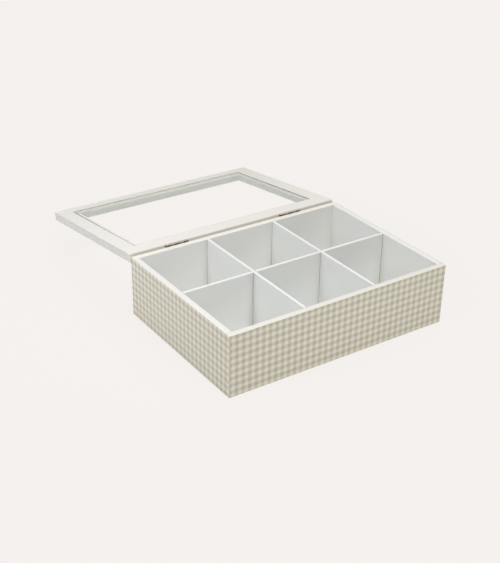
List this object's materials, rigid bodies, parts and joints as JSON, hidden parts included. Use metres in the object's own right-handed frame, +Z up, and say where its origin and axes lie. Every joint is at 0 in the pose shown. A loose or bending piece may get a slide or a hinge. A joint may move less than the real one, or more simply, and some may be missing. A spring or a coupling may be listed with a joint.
{
  "type": "tea bag organizer box",
  "caption": "Shallow wooden box papered in a small check, with a drop-in grid of cells for tea bags and a glazed lid on butt hinges that lies open past flat.",
  "frame": {"origin": "middle of the flat underside of the box, at the height it rests on", "axes": "+X to the box's right seen from the front, +Y towards the hinges and the opened lid, +Z up"},
  "size_m": [0.24, 0.3412, 0.0629],
  "materials": {
    "white_paint": "fibreboard under satin off-white paint",
    "checked_paper": "matt paper printed in a small warm grey and cream check",
    "base_board": "thin hardboard, painted off-white inside and bare brown underneath",
    "window_glass": "clear float glass with a faint green edge",
    "clear_adhesive": "set bead of translucent adhesive",
    "hinge_steel": "dull nickel-plated pressed steel",
    "screw_steel": "plated steel countersunk screws"
  },
  "bodies": {
    "box": {"front_wall": "white_paint", "back_wall": "white_paint", "left_wall": "white_paint", "right_wall": "white_paint", "base_panel": "base_board", "front_paper": "checked_paper", "back_paper": "checked_paper", "left_paper": "checked_paper", "right_paper": "checked_paper", "long_divider": "white_paint", "left_cross_divider": "white_paint", "right_cross_divider": "white_paint", "left_hinge_box_leaf": "hinge_steel", "left_hinge_pin": "hinge_steel", "right_hinge_box_leaf": "hinge_steel", "right_hinge_pin": "hinge_steel", "box_hinge_screws": "screw_steel"},
    "lid": {"lid_front_rail": "white_paint", "lid_hinge_rail": "white_paint", "lid_left_stile": "white_paint", "lid_right_stile": "white_paint", "lid_glass": "window_glass", "glass_bead": "clear_adhesive", "left_hinge_lid_leaf": "hinge_steel", "right_hinge_lid_leaf": "hinge_steel", "lid_hinge_screws": "screw_steel"}
  },
  "joints": [
    {"name": "lid_hinge", "type": "hinge", "parent": "box", "child": "lid", "pos_m": [0, 0.0863, 0.0616], "axis": [1, 0, 0], "range_deg": [0, 187.5]}
  ]
}
